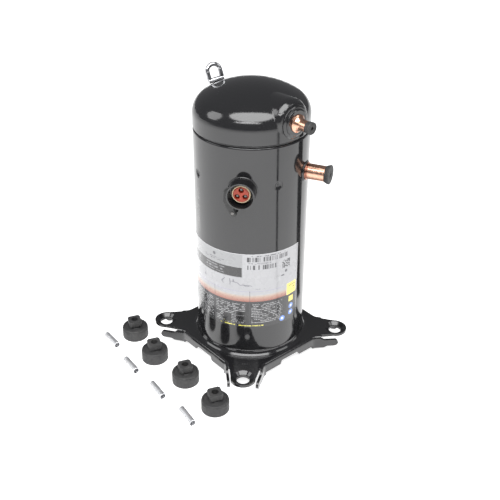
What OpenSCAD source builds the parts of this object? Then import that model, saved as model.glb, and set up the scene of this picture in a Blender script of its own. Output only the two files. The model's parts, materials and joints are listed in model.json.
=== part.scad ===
// Hermetic scroll compressor on its four-foot base, with its loose mounting kit.
// Row frame, in mm: origin on the shell's axis in the plane the base rests on, +Z up.
// The four feet stand square to X and Y, and the fittings face -Y.
// An azimuth is counted from -Y towards +X.

/* [Shell] */
// outer radius of the rolled shell
shell_r = 82; // [70:0.5:90]
// wall of the shell and of the cap
wall = 3.2; // [2.5:0.1:4]
// outer radius of the cap's skirt
cap_r = 82.2; // [72:0.1:92]
// height of the cap's lower edge
cap_z = 366.6; // [300:0.1:400]
// straight part of the cap's skirt
cap_skirt = 16.4; // [10:0.1:40]
// radius of the cap's knuckle
knuckle_r = 30; // [20:1:40]
// radius of the cap's crown
crown_r = 130; // [100:5:200]

/* [Base] */
// half spacing of the mounting holes
foot_half = 95.25; // [80:0.25:120]
// radius of a mounting hole
foot_hole_r = 9.5; // [5:0.25:12]
// radius of a foot's rounded end
foot_r = 18.3; // [14:0.1:24]
// top of the base plate
plate_z = 26; // [15:1:30]
// thickness of the base plate
plate_t = 4; // [3:0.5:6]
// depth of the dish pressed into the foot round a mounting hole
foot_dish = 4; // [0:0.5:5]
// half width of the plate between its side flanges
side_half = 89; // [84:0.5:95]
// height above the floor of a side flange's lower edge
flange_low = 10; // [5:1:14]
// how far a flange's free end splays outwards, in degrees
splay = 34.3; // [20:0.1:45]

/* [Fittings] */
// azimuth of the suction fitting
suction_az = 27; // [0:1:60]
// height of the suction fitting
suction_z = 309; // [280:1:340]
// bore radius of the suction stub
suction_bore_r = 9.6; // [8:0.1:12]
// azimuth of the discharge fitting
discharge_az = 3.2; // [-20:0.1:30]
// height of the discharge fitting
discharge_z = 391; // [380:1:400]
// bore radius of the discharge stub
discharge_bore_r = 6.4; // [5:0.1:8]
// azimuth of the electrical terminal
terminal_az = -49; // [-60:0.5:-30]
// height of the electrical terminal
terminal_z = 302; // [300:1:320]
// distance of the terminal fence's rim from the shell's axis
fence_reach = 101; // [98:1:120]
// outer radius of the terminal fence
fence_r = 19.3; // [18:0.1:25]

/* [Scroll set] */
// pitch of the scroll wraps
pitch = 17; // [15:0.5:20]
// thickness of a scroll wrap
wrap_t = 3.6; // [3:0.1:5]
// orbit radius, which is the throw of the crank
throw = 4.5; // [3.5:0.1:5]
// height of the thrust face the orbiting scroll runs on
thrust_z = 290; // [280:1:300]
// height of a wrap
wrap_h = 25.8; // [20:0.2:32]

/* [Motor] */
// lower end of the stator core
core_z = 112; // [100:1:120]
// length of the stator core
core_h = 96; // [80:1:110]
// bore radius of the stator
stator_bore_r = 40.5; // [35:0.5:45]
// number of stator slots
slots = 24; // [18:6:36]

/* [Kit] */
// radius of a rubber grommet
grommet_r = 20.2; // [18:0.1:23]
// height of a grommet's body
grommet_h = 19; // [15:0.5:25]
// outer radius of a steel sleeve
sleeve_r = 5.2; // [4:0.1:6]
// length of a steel sleeve
sleeve_len = 34; // [30:0.5:40]

/* [Hidden] */
$fn = 96;
shell_in = shell_r - wall;
neck_r = cap_r - wall;
paint = [0.06, 0.06, 0.065];
steel = [0.62, 0.63, 0.65];
iron = [0.34, 0.34, 0.36];
copper = [0.80, 0.46, 0.30];
black_rubber = [0.07, 0.07, 0.075];
bronze = [0.66, 0.52, 0.30];
alu = [0.78, 0.79, 0.80];

// cap: centre of the knuckle and of the crown
knuckle_z = cap_z + cap_skirt;
knuckle_c = cap_r - knuckle_r;
crown_z = knuckle_z - sqrt(pow(crown_r - knuckle_r, 2) - pow(knuckle_c, 2));
crown_a = atan2(knuckle_z - crown_z, knuckle_c);

// side flange: fillet to its splayed end, measured along the flange
bend_rho = 14;
bend_tan = bend_rho * tan(splay / 2);
splay_y = 53.5;
root_len = 8;

// scroll geometry
base_a = pitch / (2 * PI);
wrap_skew = wrap_t / (2 * base_a) * 180 / PI;
plate_top = thrust_z + 10;
nos_floor = thrust_z + 36;
lug_az = [8, 98, 188, -82];
weld_az = [-104.3, -14.3, 75.7, 165.7];
weld_z = 306.5;
weld_r = 6.6;

// ---- helpers ----

// children's +Z points straight out of the shell at this azimuth and height
module radial(az, z) {
    translate([0, 0, z]) rotate([0, 0, az]) rotate([90, 0, 0]) children();
}

module revolve(points) {
    rotate_extrude() polygon(points);
}

function arc(cx, cy, r, a0, a1, n) =
    [for (i = [0:n]) let (a = a0 + (a1 - a0) * i / n) [cx + r * cos(a), cy + r * sin(a)]];

// a point on the involute of the base circle, unwound by phi degrees
function involute(phi, skew) =
    let (u = phi * PI / 180)
    [base_a * (cos(phi + skew) + u * sin(phi + skew)),
     base_a * (sin(phi + skew) - u * cos(phi + skew))];

// wall between two involutes of the same base circle
module wrap_2d(phi0, phi1) {
    step = 7.5;
    n = round((phi1 - phi0) / step);
    outer = [for (i = [0:n]) involute(phi0 + i * step + wrap_skew, -wrap_skew)];
    inner = [for (i = [n:-1:0]) involute(phi0 + i * step - wrap_skew, wrap_skew)];
    polygon(concat(outer, inner));
}

// ---- shell ----

module centre_shell() color(paint) difference() {
    revolve([[shell_in, plate_z], [shell_r, plate_z], [shell_r, cap_z - 5.6], [shell_r - 0.5, cap_z - 4.2],
        [shell_r - 1.6, cap_z - 3.3], [neck_r, cap_z - 3], [neck_r, 378], [neck_r - wall, 378],
        [neck_r - wall, cap_z - 6], [shell_in, cap_z - 9.5]]);
    radial(terminal_az, terminal_z) translate([0, 0, 60]) cylinder(r = 17, h = 40);
    radial(suction_az, suction_z) translate([0, 0, 60]) cylinder(r = 12.5, h = 40);
    for (a = weld_az) radial(a, weld_z) translate([0, 0, 60]) cylinder(r = weld_r, h = 40);
}

module cap_solid(inset) {
    revolve(concat(
        [[0, cap_z - 1], [cap_r - inset, cap_z - 1]],
        arc(knuckle_c, knuckle_z, knuckle_r - inset, 0, crown_a, 12),
        arc(0, crown_z, crown_r - inset, crown_a + 3, 90, 8)));
}

// pressed seat for the discharge fitting, bulging out of the knuckle
module seat_solid(inset) {
    radial(discharge_az, discharge_z) revolve([[0, 34], [30 - inset, 34], [30 - inset, 68 - inset],
        [29.2 - inset, 73.4 - inset], [27 - inset, 77.6 - inset], [25 - inset, 79.6 - inset],
        [22.8 - inset, 80.5 - inset], [0, 80.5 - inset]]);
}

module top_cap() color(paint) difference() {
    union() {
        cap_solid(0);
        seat_solid(0);
    }
    cap_solid(wall);
    seat_solid(wall);
    translate([0, 0, cap_z - 9]) cylinder(r = 90, h = 9);
    radial(discharge_az, discharge_z) translate([0, 0, 60]) cylinder(r = 12, h = 40);
}

module muffler_plate() color(iron) revolve([[neck_r - wall, 371], [neck_r - wall, 358], [24, 358], [18, 364],
    [12, 364], [12, 368.5], [15, 368.5], [15, 367.2], [19.4, 367.2], [25.4, 361.2],
    [71.8, 361.2], [72.8, 362.2], [72.8, 371]]);

// dished plugs that hold the main bearing housing, set into four holes in the shell
module plug_welds() color(paint) for (a = weld_az) radial(a, weld_z) revolve([[0, shell_in + 0.05],
    [weld_r, shell_in + 0.05], [weld_r, shell_r - 0.45], [5.2, shell_r - 0.9], [3.4, shell_r - 1.9],
    [1.6, shell_r - 2.3], [1.2, shell_r - 1.9], [0, shell_r - 1.8]]);

// ---- base ----

// section of a side flange: x outwards from the bend, y up
module flange_2d(low, g = 0) {
    polygon(concat([[-1, plate_z + g]], arc(0, plate_z - 5, 5 + g, 90, 0, 6),
        [[5 + g, low], [1 - g, low]], arc(0, plate_z - 5, 1 - g, 0, 90, 2), [[-1, plate_z - plate_t - g]]));
}

// one splayed end of a side flange, on the +X side towards -Y; the bend is a hair thicker than the
// straights, which run half a millimetre into it
module flange_end() {
    translate([side_half + bend_rho, -splay_y + bend_tan, 0]) rotate([0, 0, 180])
        rotate_extrude(angle = splay)
        translate([bend_rho, 0]) mirror([1, 0]) flange_2d(5, 0.02);
    translate([side_half, -splay_y, 0]) rotate([90, 0, splay]) translate([0, 0, bend_tan - 0.5]) {
        linear_extrude(root_len + 0.5) flange_2d(5.02);
        translate([5, 0, root_len + 0.5]) rotate([0, -90, 0]) linear_extrude(4) tongue_2d();
    }
}

// side view of the free tongue: x along the flange from its root, y up
module tongue_2d() {
    polygon([[0, 5], [5, 5], [10, 7.6], [21.4, 7.6], [21.4, 18.8], [5, 18.8], [2, 21], [0, 21]]);
    translate([21.4, 13.2]) circle(r = 5.6, $fn = 48);
}

module side_flange() {
    difference() {
        translate([side_half, splay_y - bend_tan + 0.5, 0]) rotate([90, 0, 0])
            linear_extrude(2 * (splay_y - bend_tan + 0.5)) flange_2d(flange_low);
        rotate([90, 0, 90]) linear_extrude(120)
            polygon([[-22, 3], [-17, 16.5], [17, 16.5], [22, 3]]);
    }
    flange_end();
    mirror([0, 1, 0]) flange_end();
}

function turned(points, a) =
    [for (p = points) [p[0] * cos(a) - p[1] * sin(a), p[0] * sin(a) + p[1] * cos(a)]];

// outline of one corner of the plate, at +X, -Y, from side to side, kept 0.5 inside the bent flanges
function corner_outline() =
    let (t0 = [side_half - 0.5, -splay_y + bend_tan],
        w = [side_half, -splay_y] + (bend_tan + root_len - 0.6) * [sin(splay), -cos(splay)]
            - 0.5 * [cos(splay), sin(splay)],
        e = [foot_half, -foot_half] + (foot_r - 0.6) * [cos(27.7), sin(27.7)],
        half = concat(arc(side_half + bend_rho, t0[1], bend_rho + 0.5, 180, 180 + splay, 5), [w, e]))
    concat(half, [for (i = [len(half) - 1:-1:0]) [-half[i][1], -half[i][0]]]);

module plate_2d() {
    difference() {
        union() {
            polygon([for (k = [0:3]) each turned(corner_outline(), -90 * k)]);
            for (k = [0:3]) rotate(90 * k) translate([foot_half, -foot_half]) circle(r = foot_r);
        }
        circle(r = 74);
    }
}

module base_plate() color(paint) difference() {
    union() {
        translate([0, 0, plate_z - plate_t]) linear_extrude(plate_t) plate_2d();
        revolve([[0, 0], [50, 0], [62, 3.5], [70, 10], [74, 18], [75.5, 22.5], [75.5, plate_z],
            [70.8, plate_z], [69.8, 19.6], [66.6, 13], [60, 7.4], [48.5, 4], [0, 4]]);
        revolve([[shell_r, plate_z - 1], [shell_r + 7.4, plate_z - 1], [shell_r + 7.4, plate_z + 0.1],
            [shell_r + 4.4, plate_z + 1], [shell_r + 2.2, plate_z + 3], [shell_r + 0.8, plate_z + 5.8],
            [shell_r, plate_z + 9]]);
        for (k = [0:3]) rotate([0, 0, 90 * k]) {
            side_flange();
            translate([foot_half, -foot_half, plate_z - plate_t - foot_dish])
                cylinder(r1 = 12.2, r2 = 17.4, h = foot_dish + 0.5);
        }
        for (i = [0:3]) rotate([0, 0, -45]) translate([-3.6 + 2.4 * i, -104, plate_z - 0.5])
            cube([1.2, 2.6 + i % 2, 0.9]);
    }
    for (k = [0:3]) rotate([0, 0, 90 * k]) translate([foot_half, -foot_half, 0]) {
        cylinder(r = foot_hole_r, h = 40);
        translate([0, 0, plate_z - foot_dish]) cylinder(r1 = 10.8, r2 = 16, h = foot_dish + 0.05);
    }
}

module sump_magnet() color(iron) translate([38, 12, 4]) cylinder(r = 9, h = 3);

// ---- fittings ----

module discharge_boss() color(paint) {
    radial(discharge_az, discharge_z) revolve([[7.3, 72], [12, 72], [12, 86], [7.3, 86]]);
    difference() {
        radial(discharge_az, discharge_z) revolve([[11.5, 80.5], [22.5, 80.5], [22.5, 82.2],
            [21, 83.3], [18.6, 83.8], [18.6, 85], [17, 86], [11.5, 86]]);
        cap_solid(0);
    }
}

module discharge_tube() color(copper) radial(discharge_az, discharge_z)
    revolve([[discharge_bore_r, 74], [7.3, 74], [7.3, 86], [12.2, 86], [12.2, 87.4], [10.4, 88.8],
        [8.8, 91], [7.9, 93.4], [7.6, 95.6], [7.6, 104], [discharge_bore_r, 104]]);

module suction_flange() color(paint) radial(suction_az, suction_z) {
    revolve([[9.7, 76], [12.5, 76], [12.5, 82.2], [9.7, 82.2]]);
    difference() {
        revolve([[9.7, 76], [15, 76], [15, 81.8], [14.2, 82.8], [13.2, 83.2], [12.6, 83.2], [12.6, 82.8],
            [9.7, 82.5]]);
        rotate([-90, 0, 0]) translate([0, 0, -60]) cylinder(r = shell_r, h = 120);
    }
}

module suction_tube() color(copper) radial(suction_az, suction_z)
    revolve([[8.2, 73], [9.7, 73], [9.7, 82.5], [12.6, 82.8], [12.6, 84.4], [10.7, 84.9], [10.7, 85.6],
        [11.1, 86.2], [11.1, 110.5], [suction_bore_r, 110.5], [suction_bore_r, 88], [8.2, 86]]);

// deflector that turns the suction gas down the shell
module suction_baffle() color(steel) rotate([0, 0, suction_az - 90 - 12]) translate([0, 0, 292.2]) {
    rotate_extrude(angle = 24) translate([70.4, 0]) square([1.5, 33.8]);
    rotate_extrude(angle = 1.2) translate([71.9, 0]) square([shell_in - 71.9, 33.8]);
    rotate([0, 0, 22.8]) rotate_extrude(angle = 1.2) translate([71.9, 0]) square([shell_in - 71.9, 33.8]);
}

module suction_plug() color(black_rubber) radial(suction_az, suction_z)
    revolve([[0, 100], [suction_bore_r - 0.05, 100], [suction_bore_r - 0.05, 110.5], [11.4, 110.5],
        [12.2, 111.8], [13.6, 115.6], [13.6, 116.9], [13, 117.5], [2.8, 117.5], [2.8, 112], [0, 112]]);

module discharge_plug() color(black_rubber) radial(discharge_az, discharge_z)
    revolve([[0, 95], [discharge_bore_r - 0.05, 95], [discharge_bore_r - 0.05, 104], [7.8, 104],
        [8.1, 106], [8.5, 109.8], [8.5, 111.2], [8, 111.8], [2.6, 111.8], [2.6, 105.5], [0, 105.5]]);

// ---- electrical terminal ----

module pin_places() for (i = [0:2]) rotate([0, 0, 90 + 120 * i]) translate([6.2, 0, 0]) children();

module terminal_cup() color(steel) radial(terminal_az, terminal_z) difference() {
    revolve([[0, 74], [17, 74], [17, 84], [15, 84], [15, 76.5], [0, 76.5]]);
    pin_places() translate([0, 0, 70]) cylinder(r = 3.2, h = 20);
}

module terminal_glass() color([0.30, 0.42, 0.36]) radial(terminal_az, terminal_z) pin_places()
    revolve([[1.6, 73.8], [3.2, 73.8], [3.2, 77], [1.6, 77]]);

module terminal_pins() color(steel) radial(terminal_az, terminal_z) pin_places()
    translate([0, 0, 69]) cylinder(r = 1.6, h = 22);

// the tall ring that guards the terminal
module terminal_fence() color(paint) radial(terminal_az, terminal_z) difference() {
    translate([0, 0, 70]) cylinder(r = fence_r, h = fence_reach - 70);
    translate([0, 0, 60]) cylinder(r = fence_r - 2, h = 60);
    rotate([-90, 0, 0]) translate([0, 0, -60]) cylinder(r = shell_r, h = 120);
}

// moulded insulator with a socket around each pin
module terminal_block() color([0.78, 0.16, 0.08]) radial(terminal_az, terminal_z) difference() {
    revolve([[0, 76.5], [11.2, 76.5], [11.2, 92.6], [10.4, 93.6], [0, 93.6]]);
    pin_places() {
        translate([0, 0, 75]) cylinder(r = 3.4, h = 2.2);
        translate([0, 0, 75]) cylinder(r = 1.7, h = 40);
        translate([0, 0, 86]) cylinder(r = 3.6, h = 20);
    }
}

module terminal_gasket() color([0.82, 0.72, 0.58]) radial(terminal_az, terminal_z)
    revolve([[11.2, 88], [12.8, 88], [12.8, 92], [12.1, 92.8], [11.2, 92.8]]);

// strap that keeps the terminal cover, hanging from the fence's side
module cover_strap() color(black_rubber) radial(terminal_az, terminal_z) difference() {
    translate([0, 0, 84]) linear_extrude(9) polygon([[-17, 5.4], [-23.4, 2.3], [-24.3, -12.2],
        [-21.5, -18.4], [-19.7, -22.6], [-13.7, -32.9], [-9.1, -35.5], [-6.8, -32.9], [-8.6, -27.8],
        [-12.3, -18.4], [-13.6, -13]]);
    cylinder(r = fence_r, h = 130);
    translate([-11.9, -29.1, 60]) cylinder(r = 1.6, h = 60, $fn = 24);
}

module strap_rivet() color(steel) radial(terminal_az, terminal_z) translate([-11.9, -29.1, 0]) {
    translate([0, 0, 83]) cylinder(r = 1.6, h = 11, $fn = 24);
    translate([0, 0, 93]) cylinder(r = 2.2, h = 1.1, $fn = 24);
    translate([0, 0, 82.9]) cylinder(r = 2.2, h = 1.1, $fn = 24);
}

module lead_connector() color([0.85, 0.82, 0.74]) radial(terminal_az, terminal_z) difference() {
    translate([-12.5, -12.5, 66.4]) cube([25, 25, 7]);
    pin_places() translate([0, 0, 69]) cylinder(r = 1.6, h = 20);
    for (x = [-6, 0, 6]) translate([x, -20, 71.2]) rotate([-90, 0, 0]) cylinder(r = 1.5, h = 11, $fn = 24);
}

module motor_leads() color([0.70, 0.16, 0.12]) rotate([0, 0, terminal_az]) for (x = [-6, 0, 6])
    translate([x, -71.2, 0]) {
        translate([0, 0, 227]) cylinder(r = 1.5, h = terminal_z - 9 - 227, $fn = 24);
        translate([0, 0, 227]) sphere(r = 1.5, $fn = 24);
        translate([0, 0, 227]) rotate([-90, 0, 0]) cylinder(r = 1.5, h = 11.2 - abs(x) / 10, $fn = 24);
    }

// ---- lifting eye and plate ----

// ring of round bar with a straight foot, welded to the cap's shoulder
module lifting_eye() color([0.80, 0.80, 0.82]) rotate([0, 0, -169.9]) translate([0, -63, 411])
    rotate([20, 0, 0]) rotate([0, 0, -30]) difference() {
        union() {
            translate([0, 0, 15.5]) rotate([90, 0, 0]) rotate_extrude(angle = 180)
                translate([9.2, 0]) circle(r = 3, $fn = 48);
            for (s = [-1, 1]) translate([s * 9.2, 0, 3.4]) cylinder(r = 3.15, h = 13, $fn = 48);
            translate([-11, 0, 3.4]) rotate([0, 90, 0]) cylinder(r = 3.4, h = 22, $fn = 48);
        }
        rotate([0, 0, 30]) rotate([-20, 0, 0]) translate([0, 63, -411]) cap_solid(0);
    }

module nameplate() color([0.75, 0.75, 0.74]) rotate([0, 0, -240]) translate([0, 0, 77.2])
    rotate_extrude(angle = 165) translate([shell_r, 0]) square([0.25, 126]);

// ---- motor ----

module slot_2d(inset) {
    polygon([[43 + inset, -2.7 + inset], [58 - inset, -4.6 + inset], [58 - inset, 4.6 - inset],
        [43 + inset, 2.7 - inset]]);
}

module stator_core() color([0.42, 0.43, 0.45]) translate([0, 0, core_z]) linear_extrude(core_h)
    difference() {
        circle(r = shell_in);
        circle(r = stator_bore_r);
        for (k = [0:5]) rotate(60 * k + 15) translate([74, -30]) square([10, 60]);
        for (i = [0:slots - 1]) rotate(i * 360 / slots) {
            slot_2d(0);
            translate([stator_bore_r - 2, -1.2]) square([5, 2.4]);
        }
    }

module stator_windings() color([0.72, 0.38, 0.20]) {
    for (i = [0:slots - 1]) rotate([0, 0, i * 360 / slots]) translate([0, 0, core_z - 4])
        linear_extrude(core_h + 8) slot_2d(0.4);
    revolve([[45, 209], [58, 209], [61, 213], [61, 222], [57, 229], [50, 230], [45.5, 226], [44.4, 216]]);
    revolve([[45, 111], [58, 111], [61, 107], [61, 98], [57, 91], [50, 90], [45.5, 94], [44.4, 104]]);
}

module motor_protector() color([0.75, 0.73, 0.66]) rotate([0, 0, 60]) translate([-12, -52, 234.5])
    rotate([0, 90, 0]) cylinder(r = 4.5, h = 24);

module rotor_core() color([0.50, 0.51, 0.53]) translate([0, 0, core_z])
    linear_extrude(core_h) difference() {
        circle(r = 40);
        circle(r = 12);
    }

module rotor_end_rings() color(alu) for (z = [core_z - 6, core_z + core_h])
    translate([0, 0, z]) revolve([[26, 0], [38, 0], [38, 6], [26, 6]]);

module half_ring(r0, r1) {
    difference() {
        circle(r = r1);
        circle(r = r0);
        translate([-r1 - 1, -r1 - 1]) square([r1 + 1, 2 * r1 + 2]);
    }
}

module upper_counterweight() color(iron) translate([0, 0, core_z + core_h + 6]) {
    linear_extrude(9) rotate(180) half_ring(24, 37);
    linear_extrude(2) difference() {
        circle(r = 32);
        circle(r = 12);
    }
}

module lower_counterweight() color(iron) translate([0, 0, core_z - 15]) {
    linear_extrude(9) half_ring(24, 37);
    translate([0, 0, 7]) linear_extrude(2) difference() {
        circle(r = 32);
        circle(r = 12);
    }
}

// ---- shaft and bearings ----

module crankshaft() color(steel) difference() {
    union() {
        revolve([[0, 24], [9, 24], [9, 80], [12, 80], [12, 222], [14.5, 222], [14.5, 260], [0, 260]]);
        translate([throw, 0, 259]) linear_extrude(26) intersection() {
            circle(r = 9.5);
            square([30, 16], center = true);
        }
    }
    translate([0, 0, 20]) cylinder(r = 6, h = 42);
    translate([3.4, 0, 56]) cylinder(r = 2.2, h = 240, $fn = 32);
}

module oil_pickup() color(steel) revolve([[4.4, 14], [7.6, 14], [7.6, 15.4], [6, 17.4], [6, 40],
    [4.4, 40]]);

module drive_bushing() color(steel) translate([throw, 0, 260]) linear_extrude(24) difference() {
    circle(r = 15);
    translate([-10, -8.05]) square([20.8, 16.1]);
}

module main_bearing_bush() color(bronze) revolve([[14.54, 226], [17, 226], [17, 258], [14.54, 258]]);

module lower_bearing_bush() color(bronze) revolve([[9.04, 52], [11, 52], [11, 78], [9.04, 78]]);

module thrust_washer() color(bronze) revolve([[9.3, 78], [13, 78], [13, 80], [9.3, 80]]);

module lower_bearing_bracket() color(iron) difference() {
    union() {
        translate([0, 0, 52]) cylinder(r = 16, h = 26);
        intersection() {
            union() for (k = [0:2]) rotate([0, 0, 30 + 120 * k]) {
                translate([10, -10, 56]) cube([70, 20, 9]);
                translate([73.4, -17, 50]) cube([10, 34, 24]);
            }
            cylinder(r = shell_in, h = 200);
        }
    }
    cylinder(r = 11, h = 200);
}

module main_bearing_housing() color(iron) difference() {
    union() {
        revolve([[17, 226], [23, 226], [24.5, 250], [36, 266], [70, 268], [shell_in, 272],
            [shell_in, 292], [64, 292], [64, 280], [45.5, 280], [45.5, thrust_z], [29, thrust_z],
            [29, 258], [17, 258]]);
        for (a = lug_az) rotate([0, 0, a]) translate([0, -70, 285]) cylinder(r = 6, h = 15);
        intersection() {
            for (a = weld_az) rotate([0, 0, a]) translate([-7, -80, 285]) cube([14, 9.5, 29]);
            cylinder(r = shell_in, h = 320);
        }
    }
    for (a = lug_az) rotate([0, 0, a]) translate([0, -70, 276]) cylinder(r = 3, h = 40, $fn = 32);
    for (a = [terminal_az, 45, 145, -150]) rotate([0, 0, a]) translate([-13.5, -80, 255])
        cube([27, 13.8, 60]);
    for (s = [-1, 1]) translate([s * 54.75 - 9.35, -4.1, 274]) cube([18.7, 8.2, 8]);
}

module guide_sleeves() color(steel) for (a = lug_az) rotate([0, 0, a]) translate([0, -70, 300])
    difference() {
        cylinder(r = 4.6, h = 15.2, $fn = 64);
        translate([0, 0, -1]) cylinder(r = 3, h = 20, $fn = 32);
    }

module scroll_bolts() color(steel) for (a = lug_az) rotate([0, 0, a]) translate([0, -70, 0]) {
    translate([0, 0, 276]) cylinder(r = 3, h = 40, $fn = 32);
    translate([0, 0, 315.2]) cylinder(r = 5.6, h = 5, $fn = 6);
}

// ---- scroll set ----

module orbiting_scroll() color([0.46, 0.46, 0.48]) translate([throw, 0, 0]) {
    difference() {
        translate([0, 0, thrust_z]) cylinder(r = 58.5, h = 10);
        for (s = [-1, 1]) translate([-13.4, s * 57.5 - 12.2, thrust_z - 1]) cube([26.8, 24.4, 6.6]);
    }
    translate([0, 0, plate_top - 0.5]) linear_extrude(wrap_h - 0.1 + 0.5) rotate(180) wrap_2d(240, 1125);
    revolve([[17, 264], [23, 264], [23, thrust_z + 0.5], [17, thrust_z + 0.5]]);
}

module orbiting_bush() color(bronze) translate([throw, 0, 0])
    revolve([[15.03, 264], [17, 264], [17, 288], [15.03, 288]]);

module oldham_ring() color([0.60, 0.60, 0.62]) {
    difference() {
        translate([0, 0, 280]) cylinder(r = 58.5, h = 4);
        translate([0, 0, 279]) cylinder(r = 50.5, h = 6);
    }
    for (s = [-1, 1]) {
        translate([s * 54.5 - 4, -4, 275]) cube([8, 8, 6]);
        translate([-4, s * 54.5 - 4, 283]) cube([8, 8, 12]);
    }
}

module non_orbiting_scroll() color([0.44, 0.44, 0.46]) difference() {
    union() {
        difference() {
            translate([0, 0, plate_top + 0.1]) cylinder(r = 64.5, h = nos_floor + 10 - plate_top - 0.1);
            translate([0, 0, plate_top - 1]) cylinder(r = 60.6, h = nos_floor - plate_top + 1);
        }
        translate([0, 0, plate_top + 0.2]) linear_extrude(nos_floor - plate_top) wrap_2d(240, 1125);
        revolve([[9, nos_floor + 9], [15, nos_floor + 9], [15, nos_floor + 26], [9, nos_floor + 26]]);
        revolve([[41, nos_floor + 9], [46, nos_floor + 9], [46, nos_floor + 24], [41, nos_floor + 24]]);
        for (a = lug_az) rotate([0, 0, a]) translate([0, 0, plate_top]) {
            translate([0, -70, 0]) cylinder(r = 6.4, h = 14);
            translate([-6.4, -70, 0.1]) cube([12.8, 8, 13.9]);
        }
    }
    for (a = lug_az) rotate([0, 0, a]) translate([0, -70, plate_top - 1]) cylinder(r = 4.65, h = 30, $fn = 64);
    translate([0, 0, nos_floor - 0.5]) cylinder(r = 7, h = 30);
    rotate([0, 0, suction_az]) translate([-11, -70, plate_top + 4]) cube([22, 12, 17]);
    translate([28, 0, nos_floor - 2]) cylinder(r = 1.2, h = 20, $fn = 24);
}

module floating_seal() color(alu) revolve([[15.6, 336], [40.4, 336], [40.4, 345], [33, 345],
    [32, 355.3], [29.4, 355.3], [28.6, 347], [20, 347], [20, 350], [15.6, 350]]);

module seal_lips() color([0.85, 0.84, 0.78]) {
    revolve([[15.06, 338], [15.6, 338], [15.6, 342], [15.06, 342]]);
    revolve([[40.4, 338], [40.94, 338], [40.94, 342], [40.4, 342]]);
}

module valve_disc() color(steel) translate([0, 0, 368.5]) cylinder(r = 14, h = 1.4);

module valve_retainer() color(steel) difference() {
    revolve([[16.5, 367.2], [18.4, 367.2], [18.4, 375.2], [4, 375.2], [4, 373.4], [16.5, 373.4]]);
    for (k = [0:2]) rotate([0, 0, 120 * k]) translate([10, -4, 368.4]) cube([20, 8, 4]);
}

// ---- loose mounting kit ----

module grommet(x, y) color(black_rubber) translate([x, y, 0]) difference() {
    union() {
        revolve([[0, 0], [grommet_r - 1, 0], [grommet_r, 1], [grommet_r, grommet_h - 3.4],
            [grommet_r - 0.6, grommet_h - 2.9], [grommet_r - 0.6, grommet_h - 1.1],
            [grommet_r - 1.5, grommet_h - 0.1], [grommet_r - 3, grommet_h],
            [grommet_r - 4.2, grommet_h - 1.6], [9.4, grommet_h - 1.6], [8.2, grommet_h - 0.4],
            [8.2, grommet_h + 4], [0, grommet_h + 4]]);
        translate([0, 0, grommet_h + 3]) rotate([0, 0, -20]) linear_extrude(9) intersection() {
            square(19.5, center = true);
            circle(r = 12);
        }
    }
    translate([0, 0, -1]) cylinder(r = sleeve_r + 0.05, h = 60);
}

module grommet_1() grommet(-139, 121.3);
module grommet_2() grommet(-148.9, 52.5);
module grommet_3() grommet(-145, -21.5);
module grommet_4() grommet(-149.3, -98);

// a sleeve lying on the floor, its axis at this angle to +X
module sleeve(x, y, a) color([0.72, 0.73, 0.75]) translate([x, y, sleeve_r]) rotate([0, 90, a])
    difference() {
        cylinder(r = sleeve_r, h = sleeve_len, center = true, $fn = 64);
        cylinder(r = sleeve_r - 1, h = sleeve_len + 2, center = true, $fn = 64);
    }

module sleeve_1() sleeve(-179.1, 128.3, -93.3);
module sleeve_2() sleeve(-190.9, 56.2, -95.6);
module sleeve_3() sleeve(-193.1, -17.1, -97.4);
module sleeve_4() sleeve(-193.2, -89.2, -99.2);

centre_shell();
base_plate();
top_cap();
muffler_plate();
plug_welds();
discharge_boss();
discharge_tube();
suction_flange();
suction_tube();
suction_baffle();
terminal_cup();
terminal_glass();
terminal_pins();
terminal_fence();
terminal_block();
terminal_gasket();
cover_strap();
strap_rivet();
lifting_eye();
nameplate();
stator_core();
stator_windings();
motor_leads();
lead_connector();
motor_protector();
main_bearing_housing();
main_bearing_bush();
lower_bearing_bracket();
lower_bearing_bush();
thrust_washer();
guide_sleeves();
scroll_bolts();
sump_magnet();
valve_retainer();
crankshaft();
rotor_core();
rotor_end_rings();
upper_counterweight();
lower_counterweight();
oil_pickup();
drive_bushing();
orbiting_scroll();
orbiting_bush();
oldham_ring();
non_orbiting_scroll();
floating_seal();
seal_lips();
valve_disc();
suction_plug();
discharge_plug();
grommet_1();
grommet_2();
grommet_3();
grommet_4();
sleeve_1();
sleeve_2();
sleeve_3();
sleeve_4();
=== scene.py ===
"""Scroll compressor: finishes, weld beads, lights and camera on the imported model."""
import json
import math

import bmesh
import bpy
from mathutils import Matrix, Vector, noise


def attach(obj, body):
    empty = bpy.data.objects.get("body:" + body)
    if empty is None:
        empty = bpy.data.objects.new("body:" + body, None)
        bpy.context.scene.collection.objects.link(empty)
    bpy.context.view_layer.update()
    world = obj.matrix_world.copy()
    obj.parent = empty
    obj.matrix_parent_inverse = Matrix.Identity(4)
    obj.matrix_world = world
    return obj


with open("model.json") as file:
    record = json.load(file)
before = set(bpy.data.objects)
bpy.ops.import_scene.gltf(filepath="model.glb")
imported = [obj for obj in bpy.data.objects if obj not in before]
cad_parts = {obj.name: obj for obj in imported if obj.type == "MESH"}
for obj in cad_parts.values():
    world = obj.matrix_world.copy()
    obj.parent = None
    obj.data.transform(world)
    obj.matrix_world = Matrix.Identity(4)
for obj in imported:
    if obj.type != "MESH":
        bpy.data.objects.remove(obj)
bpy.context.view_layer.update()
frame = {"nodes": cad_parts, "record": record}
CAD = frame["nodes"]
MM = 0.001
SHELL_R = 82.0  # the shell's outer radius, mm
CAP_EDGE = 366.6  # height of the cap's lower edge, mm
FENCE = (-49, 302, 19.3)  # azimuth, height and outer radius of the terminal fence
DISCHARGE_AZIMUTH = 3.2
SUCTION_AZIMUTH = 27
LABEL_RISE = 1.2  # the printed plate's lower edge over the line its picture is drawn from, mm
LABEL_ARC = 1.4  # mm along the shell for one degree

# ---------------------------------------------------------------- shader helpers


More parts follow.
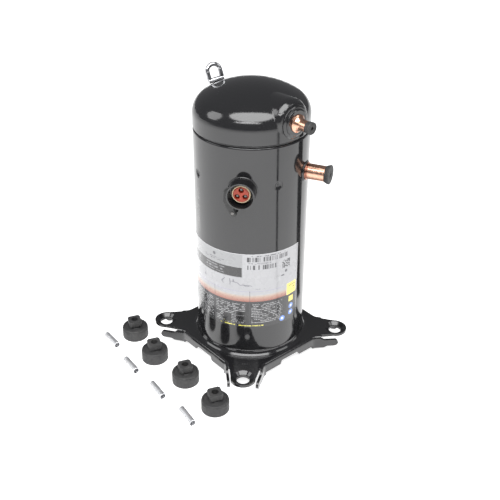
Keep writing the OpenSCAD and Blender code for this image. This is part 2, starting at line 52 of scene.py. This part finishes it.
class Finish:
    """One procedural material: a Principled shader, and nodes that work in the row frame's metres."""

    def __init__(self, name, **uniform):
        self.material = bpy.data.materials.new(name)
        self.material.use_nodes = True
        self.tree = self.material.node_tree
        self.shader = self.tree.nodes["Principled BSDF"]
        for key, value in uniform.items():
            self.shader.inputs[key.replace("_", " ")].default_value = value
        self.place = self.node("ShaderNodeTexCoord").outputs["Object"]

    def node(self, kind, **settings):
        made = self.tree.nodes.new(kind)
        for key, value in settings.items():
            setattr(made, key, value)
        return made

    def feed(self, socket, value):
        if isinstance(value, bpy.types.NodeSocket):
            self.tree.links.new(value, socket)
        else:
            if socket.type == "RGBA" and len(value) == 3:
                value = (*value, 1)
            socket.default_value = value

    def set(self, name, value):
        self.feed(self.shader.inputs[name], value)

    def math(self, operation, a, b=0.0, c=0.0):
        made = self.node("ShaderNodeMath", operation=operation)
        for socket, value in zip(made.inputs, (a, b, c)):
            self.feed(socket, value)
        return made.outputs[0]

    def times(self, *factors):
        total = factors[0]
        for factor in factors[1:]:
            total = self.math("MULTIPLY", total, factor)
        return total

    def any_of(self, *masks):
        total = masks[0]
        for mask in masks[1:]:
            total = self.math("MAXIMUM", total, mask)
        return total

    def between(self, value, low, high):
        return self.times(self.math("GREATER_THAN", value, low), self.math("LESS_THAN", value, high))

    def noise(self, scale, detail=2.0, rough=0.5, at=None, distortion=0.0):
        made = self.node("ShaderNodeTexNoise")
        settings = {"Scale": scale, "Detail": detail, "Roughness": rough, "Distortion": distortion}
        for key, value in settings.items():
            made.inputs[key].default_value = value
        self.feed(made.inputs["Vector"], at if at is not None else self.place)
        return made.outputs["Fac"]

    def cells(self, scale, at=None, feature="F1"):
        made = self.node("ShaderNodeTexVoronoi", feature=feature)
        made.inputs["Scale"].default_value = scale
        self.feed(made.inputs["Vector"], at if at is not None else self.place)
        return made.outputs["Distance"]

    def random(self, vector):
        made = self.node("ShaderNodeTexWhiteNoise", noise_dimensions="3D")
        self.feed(made.inputs["Vector"], vector)
        return made.outputs["Value"]

    def join(self, x, y=0.0, z=0.0):
        made = self.node("ShaderNodeCombineXYZ")
        for socket, value in zip(made.inputs, (x, y, z)):
            self.feed(socket, value)
        return made.outputs[0]

    def split(self, vector=None):
        made = self.node("ShaderNodeSeparateXYZ")
        self.feed(made.inputs[0], vector if vector is not None else self.place)
        return made.outputs

    def stretch(self, x, y, z):
        made = self.node("ShaderNodeMapping")
        made.inputs["Scale"].default_value = (x, y, z)
        self.feed(made.inputs["Vector"], self.place)
        return made.outputs[0]

    def spread(self, value, low, high, to_low, to_high, smooth=False):
        made = self.node("ShaderNodeMapRange", interpolation_type="SMOOTHSTEP" if smooth else "LINEAR")
        for socket, number in zip(made.inputs, (value, low, high, to_low, to_high)):
            self.feed(socket, number)
        return made.outputs[0]

    def mix(self, factor, a, b):
        made = self.node("ShaderNodeMix", data_type="RGBA")
        self.feed(made.inputs["Factor"], factor)
        self.feed(made.inputs[6], a)
        self.feed(made.inputs[7], b)
        return made.outputs[2]

    def rounded(self, radius):
        """The normal as if every edge were rounded to this radius."""
        made = self.node("ShaderNodeBevel", samples=6)
        self.feed(made.inputs["Radius"], radius)
        return made.outputs[0]

    def bump(self, height, distance, normal=None):
        made = self.node("ShaderNodeBump")
        made.inputs["Strength"].default_value = 1.0
        made.inputs["Distance"].default_value = distance
        self.feed(made.inputs["Height"], height)
        if normal is not None:
            self.feed(made.inputs["Normal"], normal)
        return made.outputs[0]

    def edges(self, normal):
        """1 on a convex or concave edge, 0 on a flat."""
        plain = self.node("ShaderNodeNewGeometry").outputs["Normal"]
        made = self.node("ShaderNodeVectorMath", operation="DOT_PRODUCT")
        self.feed(made.inputs[0], normal)
        self.feed(made.inputs[1], plain)
        return self.spread(made.outputs["Value"], 0.985, 0.8, 0.0, 1.0)


# ---------------------------------------------------------------- finishes


def enamel():
    """Gloss black paint; the pressed seat on the cap has a larger edge radius than the rest."""
    f = Finish("enamel_black", IOR=1.65)
    specks = f.spread(f.cells(420), 0.05, 0.09, 1, 0)
    sparse = f.spread(f.noise(55, 1), 0.66, 0.7, 0, 1)
    dust = f.times(specks, sparse, 0.35)
    tone = f.mix(f.noise(9, 3), (0.0085, 0.0085, 0.0095), (0.014, 0.014, 0.015))
    x, y, z = f.split()
    discharge = math.radians(DISCHARGE_AZIMUTH)
    reach = f.math("SUBTRACT", f.times(x, math.sin(discharge)), f.times(y, math.cos(discharge)))
    pressed = f.times(f.between(z, 0.372, 0.43), f.between(reach, 0.02, 0.0802))
    soft = f.rounded(f.math("MULTIPLY_ADD", pressed, 2.3 * MM, 0.7 * MM))
    rubbed = f.spread(f.noise(140, 4, 0.7), 0.58, 0.7, 0, 1)
    worn = f.times(f.math("SUBTRACT", 1.0, pressed), f.edges(soft), rubbed, 0.5)
    tone = f.mix(worn, tone, (0.16, 0.16, 0.165))
    # a faint upright column of ink-jet dots, worn to specks, high on the shell
    turn = f.times(f.math("ARCTAN2", x, f.times(y, -1.0)), 180 / math.pi)
    dot = f.random(f.join(f.math("FLOOR", f.times(turn, 1.4)), f.math("FLOOR", f.times(z, 620.0)), 31.0))
    column = f.times(f.between(turn, -108.0, -103.2), f.between(z, 0.214, 0.286))
    inked = f.times(column, f.math("GREATER_THAN", dot, 0.5), f.spread(f.noise(120, 3), 0.35, 0.6, 0, 0.5))
    tone = f.mix(inked, tone, (0.34, 0.34, 0.33))
    f.set("Base Color", f.mix(dust, tone, (0.3, 0.3, 0.29)))
    smear = f.spread(f.noise(16, 5, 0.62), 0.35, 0.75, 0.07, 0.16)
    f.set("Roughness", f.math("ADD", smear, f.times(f.any_of(dust, worn), 0.5)))
    sheet = f.bump(f.noise(13, 1), 0.35 * MM, soft)
    f.set("Normal", f.bump(f.noise(520, 2, 0.6), 0.012 * MM, sheet))
    return f.material


def metal(name, colour, dark, rough, grain=400, depth=0.01, turned=None, edge=None, upper_colour=None):
    """Bare metal: tone patches and fine grain, turning marks along the row axis that turned gives, and a
    second colour for what stands clear of the floor, above 0.1 m. Where dark lies far below colour, as on the
    bright plate, the patches are painted reflection."""
    f = Finish(name, Metallic=1.0)
    tone = f.mix(f.spread(f.noise(70, 4, 0.65), 0.3, 0.7, 0, 1), colour, dark)
    soft = f.rounded(0.35 * MM)
    if edge:
        tone = f.mix(f.edges(soft), tone, edge)
    if upper_colour:
        # zinc parts higher than 0.1 m (the strap rivet) take this darker colour
        tone = f.mix(f.math("GREATER_THAN", f.split()[2], 0.1), tone, upper_colour)
    f.set("Base Color", tone)
    f.set("Roughness", f.spread(f.noise(180, 4, 0.7), 0.25, 0.8, rough * 0.75, rough * 1.35))
    height = f.noise(grain, 3, 0.6)
    if turned is not None:
        axis = f.split()[turned]
        height = f.noise(1.0, 2, 0.5, at=f.join(f.times(axis, 3200.0)))
    f.set("Normal", f.bump(height, depth * MM, soft))
    return f.material


def radial_tint(f, azimuth, low, high):
    """0 to 1 along the pipe that leaves the shell at this azimuth, between two distances from the axis."""
    a = math.radians(azimuth)
    x, y = f.split()[:2]
    along = f.math("ADD", f.times(x, math.sin(a)), f.times(y, -math.cos(a)))
    return f.spread(along, low * MM, high * MM, 0, 1)


def copper():
    f = Finish("copper_pipe", Metallic=1.0)
    bright = f.mix(f.noise(60, 4, 0.6), (0.80, 0.50, 0.38), (0.60, 0.31, 0.20))
    suction = radial_tint(f, SUCTION_AZIMUTH, 88, 83)
    patch = f.spread(f.noise(90, 4, 0.7), 0.35, 0.65, 0, 1)
    heat = f.mix(patch, (0.18, 0.085, 0.075), (0.34, 0.13, 0.085))
    stain = f.times(suction, f.math("LESS_THAN", f.split()[2], 0.34))
    soft = f.rounded(0.3 * MM)
    f.set("Base Color", f.mix(stain, bright, heat))
    f.set("Roughness", f.spread(f.noise(260, 4, 0.7), 0.3, 0.75, 0.16, 0.34))
    drawn = f.noise(1.0, 3, 0.6, at=f.stretch(900, 900, 900))
    f.set("Normal", f.bump(drawn, 0.012 * MM, soft))
    return f.material


def rubber(name, tone=(0.030, 0.030, 0.031), dusty=(0.075, 0.073, 0.070)):
    f = Finish(name, IOR=1.5)
    soft = f.rounded(0.8 * MM)
    bloom = f.spread(f.noise(45, 5, 0.7), 0.42, 0.75, 0, 1)
    scuffed = f.mix(f.times(bloom, 0.6), tone, dusty)
    f.set("Base Color", f.mix(f.times(f.edges(soft), 0.5), scuffed, dusty))
    f.set("Roughness", f.spread(f.noise(120, 4, 0.6), 0.3, 0.8, 0.5, 0.78))
    grain = f.math("ADD", f.noise(900, 3, 0.7), f.times(f.cells(350), 0.4))
    f.set("Normal", f.bump(grain, 0.06 * MM, soft))
    return f.material


def moulded(name, tone, deep, rough=0.38, grain=0.02):
    f = Finish(name, IOR=1.5)
    soft = f.rounded(0.4 * MM)
    f.set("Base Color", f.mix(f.noise(80, 3, 0.6), tone, deep))
    f.set("Roughness", f.spread(f.noise(150, 4, 0.6), 0.3, 0.75, rough * 0.8, rough * 1.3))
    f.set("Normal", f.bump(f.noise(700, 2, 0.6), grain * MM, soft))
    return f.material


def laminated():
    f = Finish("stacked_steel", Metallic=1.0)
    z = f.split()[2]
    sheet = f.math("PINGPONG", z, 0.25 * MM)
    line = f.spread(sheet, 0, 0.07 * MM, 1, 0)
    tone = f.mix(f.noise(40, 4), (0.40, 0.42, 0.46), (0.30, 0.31, 0.35))
    f.set("Base Color", f.mix(f.times(line, 0.7), tone, (0.10, 0.10, 0.12)))
    f.set("Roughness", f.spread(f.noise(200, 3), 0.3, 0.8, 0.35, 0.6))
    f.set("Normal", f.bump(line, -0.05 * MM))
    return f.material


def winding():
    f = Finish("wound_copper", Coat_Weight=0.6, Coat_Roughness=0.2, Metallic=0.7)
    x, y, z = f.split()
    turn = f.math("ARCTAN2", x, y)
    radius = f.math("SQRT", f.math("ADD", f.times(x, x), f.times(y, y)))
    lay = f.math("ADD", f.times(radius, 1.0), f.times(z, 0.8))
    strand = f.math("PINGPONG", f.math("ADD", lay, f.times(f.noise(60, 2), 0.8 * MM)), 0.55 * MM)
    height = f.spread(strand, 0, 0.55 * MM, 0, 1, smooth=True)
    lengthwise = f.join(f.times(turn, 0.05), radius, z)
    wire = f.mix(f.noise(120, 3, 0.6, at=lengthwise), (0.62, 0.25, 0.11), (0.45, 0.15, 0.06))
    # painted shade: the base colour darkens to near-black brown in the grooves between strands, where height is
    # low
    f.set("Base Color", f.mix(f.spread(height, 0.25, 0, 0, 1), wire, (0.10, 0.03, 0.015)))
    f.set("Roughness", f.spread(f.noise(220, 3), 0.3, 0.8, 0.3, 0.5))
    f.set("Normal", f.bump(height, 0.4 * MM))
    return f.material


def cast_iron():
    f = Finish("grey_iron", Metallic=0.85)
    skin = f.mix(f.noise(90, 5, 0.7), (0.20, 0.20, 0.205), (0.30, 0.30, 0.30))
    soft = f.rounded(0.6 * MM)
    f.set("Base Color", f.mix(f.times(f.edges(soft), 0.7), skin, (0.42, 0.42, 0.42)))
    f.set("Roughness", f.spread(f.noise(240, 4, 0.7), 0.3, 0.8, 0.42, 0.68))
    f.set("Normal", f.bump(f.math("ADD", f.noise(650, 4, 0.7), f.times(f.cells(500), 0.5)), 0.07 * MM, soft))
    return f.material


def glass():
    f = Finish("sealing_glass", IOR=1.52, Coat_Weight=0.4)
    f.set("Base Color", f.mix(f.noise(300, 3), (0.16, 0.11, 0.08), (0.10, 0.06, 0.045)))
    f.set("Roughness", f.spread(f.noise(200, 2), 0.3, 0.7, 0.08, 0.18))
    f.set("Normal", f.bump(f.noise(350, 2), 0.03 * MM))
    return f.material


def printed():
    """The wrapped plate: a white panel over a black one, with generic bars, blocks and lines for any wording."""
    f = Finish("printed_film", IOR=1.45, Coat_Weight=0.75, Coat_Roughness=0.06, Coat_IOR=1.5)
    x, y, z = f.split()
    turn = f.times(f.math("ARCTAN2", x, f.times(y, -1.0)), 180 / math.pi)  # azimuth, degrees
    high = f.math("SUBTRACT", f.times(z, 1000.0), LABEL_RISE)  # millimetres

    def patch(left, right, low, top):
        return f.times(f.between(turn, left, right), f.between(high, low, top))

    def bars(left, right, low, top, pitch, fill, word, seed):
        """Rows of broken strokes that stand for small print."""
        row = f.math("FLOOR", f.math("DIVIDE", high, pitch))
        in_row = f.math("LESS_THAN", f.math("FRACT", f.math("DIVIDE", high, pitch)), fill)
        slot = f.math("FLOOR", f.math("DIVIDE", f.math("ADD", turn, f.times(row, 3.7)), word))
        on = f.math("GREATER_THAN", f.random(f.join(slot, row, seed)), 0.22)
        stroke = f.math("FLOOR", f.math("DIVIDE", turn, 0.42))
        tick = f.math("GREATER_THAN", f.random(f.join(stroke, row, seed + 9.0)), 0.25)
        return f.times(patch(left, right, low, top), in_row, on, tick)

    def code_bars(left, right, low, top, width, seed):
        column = f.math("FLOOR", f.math("DIVIDE", turn, width))
        dark = f.math("GREATER_THAN", f.random(f.join(column, seed)), 0.47)
        return f.times(patch(left, right, low, top), dark)

    def code_blocks(left, right, low, top, size, seed):
        column = f.math("FLOOR", f.math("DIVIDE", turn, size))
        row = f.math("FLOOR", f.math("DIVIDE", high, size * 1.4))
        dark = f.math("GREATER_THAN", f.random(f.join(column, row, seed)), 0.45)
        return f.times(patch(left, right, low, top), dark)

    def disc(azimuth, height, radius):
        across = f.times(f.math("SUBTRACT", turn, azimuth), LABEL_ARC)
        up = f.math("SUBTRACT", high, height)
        away = f.math("SQRT", f.math("ADD", f.times(across, across), f.times(up, up)))
        return f.math("LESS_THAN", away, radius)

    def ink(under, mask, colour):
        return f.mix(mask, under, colour)

    faint = f.noise(30, 3)
    white = f.mix(faint, (0.36, 0.36, 0.375), (0.41, 0.41, 0.42))
    panel = f.mix(faint, (0.28, 0.282, 0.29), (0.32, 0.325, 0.33))
    black = f.mix(faint, (0.014, 0.014, 0.016), (0.022, 0.022, 0.024))

    picture = ink(white, patch(-150, -49, 163, 203), panel)
    picture = ink(picture, patch(-146, -49.6, 163.7, 179.4), (0.022, 0.022, 0.023))
    picture = ink(picture, disc(-80, 194, 2.6), (0.10, 0.10, 0.11))
    picture = ink(picture, bars(-93, -68, 184, 188.4, 2.6, 0.55, 2.3, 1.0), (0.13, 0.13, 0.14))
    picture = ink(picture, bars(-92, -68, 166.4, 176.6, 5.0, 0.52, 2.8, 2.0), (0.24, 0.24, 0.25))
    picture = ink(picture, bars(-145, -100, 166.4, 176.6, 5.0, 0.52, 2.8, 2.5), (0.20, 0.20, 0.21))
    # two rows of code bars, a block code and small marks
    picture = ink(picture, code_bars(-44.4, 0.5, 189.5, 197.0, 0.55, 3.0), (0.05, 0.05, 0.055))
    picture = ink(picture, bars(-40, -4, 197.4, 199.6, 2.2, 0.7, 2.0, 4.0), (0.10, 0.10, 0.11))
    picture = ink(picture, code_bars(-44.4, -14, 176.6, 184.0, 0.55, 5.0), (0.05, 0.05, 0.055))
    picture = ink(picture, bars(-43, -20, 185.6, 187.8, 2.2, 0.7, 2.0, 6.0), (0.12, 0.12, 0.13))
    picture = ink(picture, code_blocks(-7.5, 2.6, 171.0, 184.6, 1.0, 7.0), (0.05, 0.05, 0.055))
    picture = ink(picture, disc(-2.4, 165.5, 2.3), (0.09, 0.09, 0.10))
    picture = ink(picture, patch(-8.4, -4.6, 158.4, 160.6), (0.09, 0.09, 0.10))
    picture = ink(picture, bars(-16, -9, 159, 162, 2.6, 0.6, 1.6, 8.0), (0.30, 0.30, 0.31))
    # a faint line drawing across the lower part of the white panel
    curve = f.noise(34, 2, 0.5)
    outline = f.spread(f.math("ABSOLUTE", f.math("SUBTRACT", curve, 0.5)), 0.0, 0.02, 0.9, 0.0)
    picture = ink(picture, f.times(outline, patch(-101, -26, 148.5, 159)), (0.10, 0.10, 0.12))
    picture = ink(picture, bars(-101, -72, 140.5, 146, 2.6, 0.5, 2.6, 10.0), (0.42, 0.42, 0.45))
    picture = ink(picture, bars(-36, -24, 142.6, 145.2, 2.6, 0.5, 1.6, 11.0), (0.28, 0.28, 0.30))
    picture = ink(picture, patch(-146, -5.5, 139.2, 139.75), (0.30, 0.28, 0.42))
    picture = ink(picture, bars(-72, -46, 133.4, 138.2, 2.4, 0.45, 2.2, 12.0), (0.42, 0.42, 0.45))
    picture = ink(picture, bars(-32, -18, 133.4, 136.6, 2.4, 0.45, 2.2, 13.0), (0.40, 0.40, 0.43))
    # orange stripe, fading up into cream
    rise = f.spread(high, 122.0, 133.0, 0, 1)
    stripe = f.mix(f.spread(rise, 0.0, 0.62, 0, 1), (0.30, 0.105, 0.078), (0.43, 0.275, 0.215))
    stripe = f.mix(f.spread(rise, 0.6, 1.0, 0, 1), stripe, (0.44, 0.415, 0.375))
    picture = ink(picture, patch(-151, -1.2, 122.0, 133.0), stripe)
    # black panel with columns of fine rows
    picture = ink(picture, patch(-151, 16, 70, 122.0), black)
    rows = f.any_of(
        bars(-112, -82, 81, 119, 2.9, 0.42, 2.6, 14.0),
        bars(-78.2, -46, 82, 119, 2.9, 0.42, 2.6, 15.0),
        bars(-39.8, -5.8, 84, 119, 2.9, 0.42, 2.6, 16.0),
        bars(-146, -116, 81, 119, 2.9, 0.42, 2.6, 17.0),
    )
    picture = ink(picture, f.times(rows, 0.66), (0.50, 0.50, 0.51))
    blocks = f.any_of(
        patch(-69.5, -60.6, 85, 97),
        patch(-55.5, -45.8, 90, 96.4),
        patch(-55.5, -45.8, 98.2, 103.8),
    )
    picture = ink(picture, blocks, (0.008, 0.008, 0.009))
    picture = ink(picture, bars(-73, -27, 77.4, 80.0, 2.7, 0.62, 3.0, 18.0), (0.72, 0.66, 0.13))
    picture = ink(picture, bars(-69.5, -60.6, 81.6, 84.6, 3.0, 0.5, 3.0, 19.0), (0.30, 0.28, 0.05))
    rule = f.any_of(patch(-80.1, -79.7, 80, 141), patch(-41.6, -41.2, 84, 140))
    picture = ink(picture, rule, (0.05, 0.05, 0.055))
    # yellow and blue patches at the right edge
    yellow = f.mix(f.noise(260, 2), (0.86, 0.70, 0.09), (0.92, 0.80, 0.20))
    picture = ink(picture, patch(-0.6, 13.0, 121.0, 141.0), yellow)
    picture = ink(picture, bars(1.6, 11.6, 124.4, 138.2, 4.5, 0.42, 2.2, 20.0), (0.28, 0.22, 0.03))
    picture = ink(picture, patch(2.6, 9.0, 107.5, 117.0), yellow)
    spots = ((6.2, 99.0), (6.0, 87.6), (-5.6, 83.0))
    for radius, colour in ((4.6, (0.16, 0.28, 0.70)), (2.0, (0.75, 0.80, 0.90))):
        picture = ink(picture, f.any_of(*(disc(*spot, radius) for spot in spots)), colour)
    # bare film border
    border = f.any_of(f.math("GREATER_THAN", high, 201.2), f.math("GREATER_THAN", turn, 14.5))
    picture = ink(picture, border, (0.52, 0.52, 0.53))

    f.set("Base Color", picture)
    f.set("Roughness", f.spread(f.noise(90, 4, 0.6), 0.3, 0.75, 0.22, 0.36))
    f.set("Normal", f.bump(f.noise(14, 2), 0.25 * MM))
    return f.material


FINISHES = {
    "shell_paint": enamel(),
    "copper_tube": copper(),
    "zinc_steel": metal("zinc_plate", (0.92, 0.92, 0.93), (0.74, 0.75, 0.77), 0.44, edge=(0.9, 0.9, 0.92),
        upper_colour=(0.17, 0.165, 0.16)),
    # the lifting eye's dark tone (0.16 against 0.72) is painted reflection of the black cap around it, laid on
    # in noise patches
    "chrome_eye": metal("bright_plate_painted_reflection", (0.72, 0.73, 0.75), (0.16, 0.16, 0.17), 0.12, grain=160, depth=0.02),
    "black_rubber": rubber("soft_rubber"),
    "red_moulding": moulded("orange_red_resin", (0.42, 0.052, 0.020), (0.29, 0.030, 0.012), 0.42),
    "cream_gasket": moulded("cream_felt", (0.80, 0.66, 0.46), (0.68, 0.52, 0.34), 0.7, 0.08),
    "glass_bead": glass(),
    "label_film": printed(),
    "cast_iron_parts": cast_iron(),
    "machined_steel": metal("turned_steel", (0.56, 0.57, 0.58), (0.46, 0.47, 0.49), 0.28, turned=2,
        edge=(0.72, 0.72, 0.73)),
    "lamination_steel": laminated(),
    "copper_winding": winding(),
    "bearing_bronze": metal("bronze_liner", (0.66, 0.47, 0.25), (0.52, 0.35, 0.17), 0.32, turned=2),
    "die_cast_alu": metal("cast_alloy", (0.72, 0.73, 0.74), (0.60, 0.61, 0.63), 0.40, depth=0.03),
    "ptfe_lip": moulded("filled_polymer", (0.20, 0.17, 0.13), (0.14, 0.12, 0.09), 0.5),
    "cream_plastic": moulded("cream_resin", (0.78, 0.70, 0.54), (0.68, 0.60, 0.45), 0.45),
    "lead_insulation": moulded("varnished_sleeving", (0.10, 0.10, 0.11), (0.05, 0.05, 0.055), 0.5, 0.05),
}
for part in frame["record"]["subparts"]:
    data = CAD[part["node"]].data
    data.materials.clear()
    data.materials.append(FINISHES[part["material_slot"]])

# ---------------------------------------------------------------- pieces


def weld(name, points, radius, ripple, pitch, closed=True, squashed=1.0):
    """A weld bead: a tube along points (mm), with scalloped ripples of the given depth and pitch (mm)."""
    sides = 12
    bm = bmesh.new()
    points = [Vector(p) for p in points]
    count = len(points)
    rings, run = [], 0.0
    for i, point in enumerate(points):
        before = points[i - 1] if closed or i else point
        after = points[(i + 1) % count] if closed or i < count - 1 else point
        along = (after - before).normalized()
        out = Vector((point.x, point.y, 0)).normalized()
        side = along.cross(out).normalized()
        up = side.cross(along).normalized()
        phase = (run / pitch) % 1.0
        swell = radius * (1 + ripple * (math.sin(math.pi * phase) - 0.5))
        swell *= 1 + 0.12 * noise.noise(point * 0.12)
        rings.append([
            bm.verts.new((point + swell * (math.cos(t) * up * squashed + math.sin(t) * side)) * MM)
            for t in (2 * math.pi * k / sides for k in range(sides))
        ])
        run += (after - point).length
    last = count if closed else count - 1
    for i in range(last):
        a, b = rings[i], rings[(i + 1) % count]
        for k in range(sides):
            bm.faces.new((a[k], a[(k + 1) % sides], b[(k + 1) % sides], b[k]))
    if not closed:
        bm.faces.new(rings[0][::-1])
        bm.faces.new(rings[-1])
    bmesh.ops.recalc_face_normals(bm, faces=bm.faces)
    mesh = bpy.data.meshes.new(name)
    bm.to_mesh(mesh)
    bm.free()
    mesh.shade_smooth()
    mesh.materials.append(FINISHES["shell_paint"])
    piece = bpy.data.objects.new(name, mesh)
    bpy.context.scene.collection.objects.link(piece)
    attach(piece, "housing")


def directions(azimuth):
    """Level unit vectors out of the shell at this azimuth, and to the right of that."""
    a = math.radians(azimuth)
    return Vector((math.sin(a), -math.cos(a), 0)), Vector((math.cos(a), math.sin(a), 0))


def circle(radius, height, count):
    return [(radius * math.cos(t), radius * math.sin(t), height)
            for t in (2 * math.pi * i / count for i in range(count))]


def on_shell(azimuth, height, radius, lift, count):
    """A closed curve where a cylinder of this radius meets the shell."""
    out, across = directions(azimuth)
    curve = []
    for i in range(count):
        t = 2 * math.pi * i / count
        s = radius * math.cos(t)
        depth = math.sqrt(SHELL_R ** 2 - s * s) + lift
        curve.append(out * depth + across * s + Vector((0, 0, height + radius * math.sin(t))))
    return curve


def upright(azimuth, radius, low, step, count):
    out = radius * directions(azimuth)[0]
    return [out + Vector((0, 0, low + i * step)) for i in range(count)]


azimuth, height, radius = FENCE
weld("cap_weld", circle(SHELL_R - 2.1, CAP_EDGE - 1.6, 720), 1.1, ripple=0.12, pitch=2.6)
weld("fence_weld", on_shell(azimuth, height, radius + 0.3, 0.3, 240), 1.3, ripple=0.2, pitch=2.2)
weld("shell_seam_weld", upright(138, SHELL_R + 0.05, 38, 0.8, 396), 1.9, ripple=0.1, pitch=2.4,
     closed=False, squashed=0.32)

# ---------------------------------------------------------------- floor, light and camera


CAMERA_AZIMUTH = -40.79
CENTRE = Vector((0.0, 0.0, 0.22))


def floor():
    bm = bmesh.new()
    bmesh.ops.create_circle(bm, cap_ends=True, segments=96, radius=6.0)
    mesh = bpy.data.meshes.new("studio_floor")
    bm.to_mesh(mesh)
    bm.free()
    f = Finish("studio_white")
    f.set("Base Color", f.mix(f.noise(3, 2), (0.78, 0.78, 0.78), (0.80, 0.80, 0.80)))
    f.set("Roughness", 0.9)
    f.set("Emission Color", (1.0, 1.0, 1.0))
    f.set("Emission Strength", 0.8)
    mesh.materials.append(f.material)
    obj = bpy.data.objects.new("studio_floor", mesh)
    obj.location.z = -0.0002
    bpy.context.scene.collection.objects.link(obj)


def flag(name, azimuth, near, far, near_width, far_width):
    """A black cloth on the floor that only reflections see: it puts an upright dark streak on the shell."""
    out, across = directions(azimuth)
    corners = [out * near - across * near_width / 2, out * near + across * near_width / 2,
               out * far + across * far_width / 2, out * far - across * far_width / 2]
    mesh = bpy.data.meshes.new(name)
    mesh.from_pydata([tuple(c + Vector((0, 0, 0.0005))) for c in corners], [], [(0, 1, 2, 3)])
    f = Finish("studio_cloth_" + name)
    f.set("Base Color", f.mix(f.noise(30, 2), (0.03, 0.03, 0.03), (0.05, 0.05, 0.05)))
    f.set("Roughness", 0.9)
    mesh.materials.append(f.material)
    obj = bpy.data.objects.new(name, mesh)
    obj.visible_camera = obj.visible_diffuse = obj.visible_shadow = False
    bpy.context.scene.collection.objects.link(obj)


def softbox(name, at, towards, width, height, power):
    data = bpy.data.lights.new(name, "AREA")
    data.shape, data.size, data.size_y, data.energy = "ELLIPSE", width, height, power
    obj = bpy.data.objects.new(name, data)
    obj.location = at
    obj.rotation_mode = "QUATERNION"
    obj.rotation_quaternion = (Vector(towards) - Vector(at)).to_track_quat("-Z", "Y")
    obj.visible_camera = False
    bpy.context.scene.collection.objects.link(obj)


def camera():
    elevation, roll = math.radians(30.96), math.radians(0.39)
    level, right = directions(CAMERA_AZIMUTH)
    back = level * math.cos(elevation) + Vector((0, 0, math.sin(elevation)))
    up = back.cross(right)
    across = right * math.cos(roll) + up * math.sin(roll)
    upward = up * math.cos(roll) - right * math.sin(roll)
    data = bpy.data.cameras.new("camera")
    data.lens, data.sensor_width = 57.763, 36.0
    obj = bpy.data.objects.new("camera", data)
    obj.matrix_world = Matrix((across, upward, back)).transposed().to_4x4()
    obj.location = (-0.6801, -0.7866, 0.7854)
    bpy.context.scene.collection.objects.link(obj)
    bpy.context.scene.camera = obj


def around(turn, elevation, distance):
    """A point seen from the object's middle: degrees to the right of the camera, degrees up, metres away."""
    e = math.radians(elevation)
    return CENTRE + distance * (directions(CAMERA_AZIMUTH + turn)[0] * math.cos(e) + Vector((0, 0, math.sin(e))))


floor()
flag("streak_right", 9, 0.20, 1.6, 0.012, 0.10)
flag("streak_far_right", 66, 0.20, 1.6, 0.045, 0.40)
softbox("overhead", around(0, 66, 2.2), CENTRE, 2.6, 1.9, 75)
softbox("low_strip", around(-8, 38.5, 2.3), CENTRE, 1.9, 0.17, 10)
softbox("left_key", around(-84, 34, 1.9), CENTRE, 0.9, 1.1, 8)
softbox("right_fill", around(75, 40, 2.2), CENTRE, 0.8, 0.8, 4)
world = bpy.data.worlds.new("studio")
world.use_nodes = True
nodes, links = world.node_tree.nodes, world.node_tree.links
room = nodes["Background"]
room.inputs["Color"].default_value = (0.96, 0.97, 1.0, 1)
room.inputs["Strength"].default_value = 0.2
page = nodes.new("ShaderNodeBackground")
page.inputs["Strength"].default_value = 1.0
page.inputs["Color"].default_value = (1, 1, 1, 1)
either = nodes.new("ShaderNodeMixShader")
links.new(nodes.new("ShaderNodeLightPath").outputs["Is Camera Ray"], either.inputs[0])
links.new(room.outputs[0], either.inputs[1])
links.new(page.outputs[0], either.inputs[2])
links.new(either.outputs[0], nodes["World Output"].inputs["Surface"])
bpy.context.scene.world = world
bpy.context.scene.view_settings.view_transform = "Standard"
camera()
